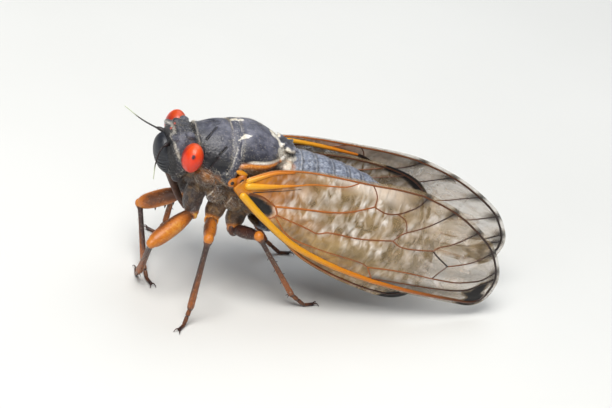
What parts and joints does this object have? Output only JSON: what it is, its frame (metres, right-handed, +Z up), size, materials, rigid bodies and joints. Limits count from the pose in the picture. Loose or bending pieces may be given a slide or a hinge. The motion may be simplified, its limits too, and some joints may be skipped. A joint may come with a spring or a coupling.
{
  "type": "periodical cicada model",
  "caption": "Still life-size periodical cicada standing on six feet, wings folded steeply along its sides with raised veins, red eyes, orange front femora.",
  "frame": {"origin": "centre of the bounding box at the level of the soles", "axes": "+X towards the wing tips, the animal's left side at -Y, +Z up"},
  "size_m": [0.047, 0.0212, 0.0204],
  "materials": {
    "upper_body": "hard blue-black cuticle with a short velvety bloom",
    "under_body": "dark chestnut cuticle",
    "abdomen": "slate-grey tergites with paler hind edges",
    "eyes": "glossy orange-red compound eyes",
    "antennae": "dark bristles",
    "forewings": "clear, slightly smoky membrane with amber veins",
    "hindwings": "clear membrane with amber veins",
    "coxae": "dark grey cuticle",
    "femora": "orange-brown cuticle",
    "shins": "dark red-brown cuticle"
  },
  "bodies": {
    "root": {"abdomen": "abdomen", "antenna_left": "antennae", "antenna_right": "antennae", "clypeus": "upper_body", "eye_left": "eyes", "eye_right": "eyes", "forewing_left": "forewings", "forewing_right": "forewings", "front_left_coxa": "coxae", "front_left_femur": "femora", "front_left_tarsus": "shins", "front_left_tibia": "shins", "front_right_coxa": "coxae", "front_right_femur": "femora", "front_right_tarsus": "shins", "front_right_tibia": "shins", "head": "upper_body", "hind_left_coxa": "coxae", "hind_left_femur": "femora", "hind_left_tarsus": "shins", "hind_left_tibia": "shins", "hind_right_coxa": "coxae", "hind_right_femur": "femora", "hind_right_tarsus": "shins", "hind_right_tibia": "shins", "hindwing_left": "hindwings", "hindwing_right": "hindwings", "mesonotum": "upper_body", "middle_left_coxa": "coxae", "middle_left_femur": "femora", "middle_left_tarsus": "shins", "middle_left_tibia": "shins", "middle_right_coxa": "coxae", "middle_right_femur": "femora", "middle_right_tarsus": "shins", "middle_right_tibia": "shins", "pronotum": "upper_body", "rostrum": "under_body", "scutellum": "upper_body", "tail_tip": "under_body", "thorax": "under_body"}
  },
  "joints": []
}
